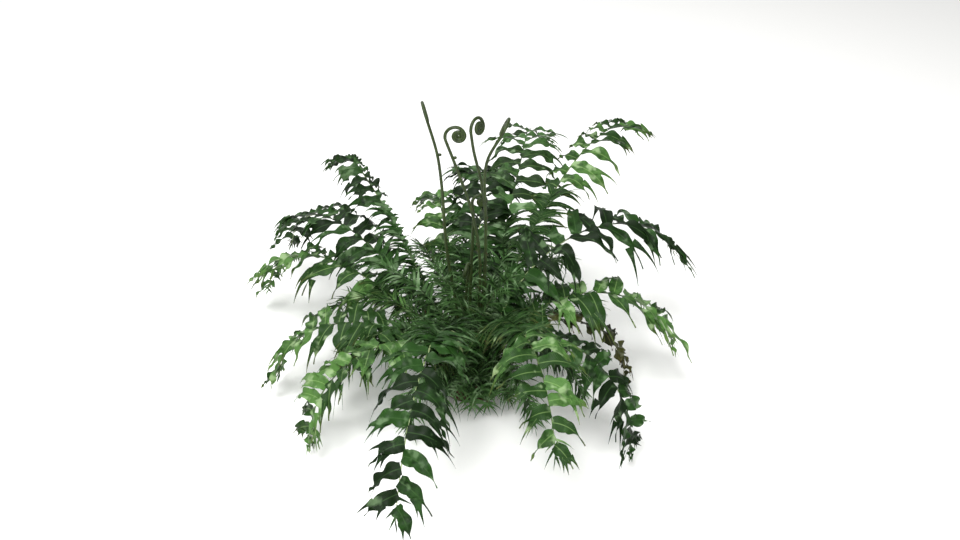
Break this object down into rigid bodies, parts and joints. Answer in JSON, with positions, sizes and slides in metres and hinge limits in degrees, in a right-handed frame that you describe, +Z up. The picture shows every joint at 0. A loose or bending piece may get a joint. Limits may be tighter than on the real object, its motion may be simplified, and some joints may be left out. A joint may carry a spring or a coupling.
{
  "type": "sword fern plant",
  "caption": "Sword fern without a pot: one rootstock with a flat underside, arching fronds of pointed leaflets all round it, and tall curled young croziers at its centre.",
  "frame": {"origin": "centre of the crown's flat underside, on the surface that the plant rests on", "axes": "+Z up along the croziers, +X to the right and +Y away from the viewer in the pictured view"},
  "size_m": [0.9766, 1.316, 0.6148],
  "materials": {
    "frond_bright": "leathery living leaf, young bright green, semi-gloss above and paler below",
    "frond_mid": "leathery living leaf, mid green, semi-gloss above and paler below",
    "frond_dark": "leathery living leaf, old dark green, semi-gloss above and paler below",
    "frond_brown": "ageing leaf, dark green turning brown, dull",
    "crozier": "smooth olive-green young stem with a few brown scales, satin",
    "crown": "rough brown rootstock covered with papery scales and old leaf bases, dull"
  },
  "bodies": {
    "root": {"crown": "crown", "crozier_bud": "crozier", "crozier_coil": "crozier", "crozier_hook": "crozier", "crozier_leaning_right": "crozier", "crozier_small": "crozier", "crozier_tall_left": "crozier", "fringe_frond_far_right": "frond_mid", "fringe_frond_left": "frond_mid", "fringe_frond_middle": "frond_mid", "fringe_frond_right": "frond_mid", "frond_back": "frond_dark", "frond_back_left_long": "frond_dark", "frond_back_left_short": "frond_bright", "frond_back_right_high": "frond_mid", "frond_back_right_long": "frond_bright", "frond_back_right_low": "frond_dark", "frond_front": "frond_dark", "frond_front_right": "frond_bright", "frond_left": "frond_bright", "frond_left_back": "frond_dark", "frond_left_front": "frond_bright", "frond_left_high": "frond_bright", "frond_right": "frond_bright", "frond_right_brown": "frond_brown", "frond_right_front": "frond_dark", "heart_frond_back_left": "frond_mid", "heart_frond_back_right": "frond_mid", "heart_frond_front": "frond_mid", "heart_frond_front_left": "frond_mid", "heart_frond_front_right": "frond_mid", "heart_frond_left": "frond_mid", "heart_frond_right": "frond_mid", "inner_frond_back": "frond_mid", "inner_frond_back_left": "frond_mid", "inner_frond_left": "frond_bright", "inner_frond_left_back": "frond_bright", "inner_frond_left_front": "frond_mid", "inner_frond_right": "frond_mid", "inner_frond_right_back": "frond_mid", "inner_frond_right_front": "frond_mid", "inner_frond_right_low": "frond_mid"}
  },
  "joints": []
}
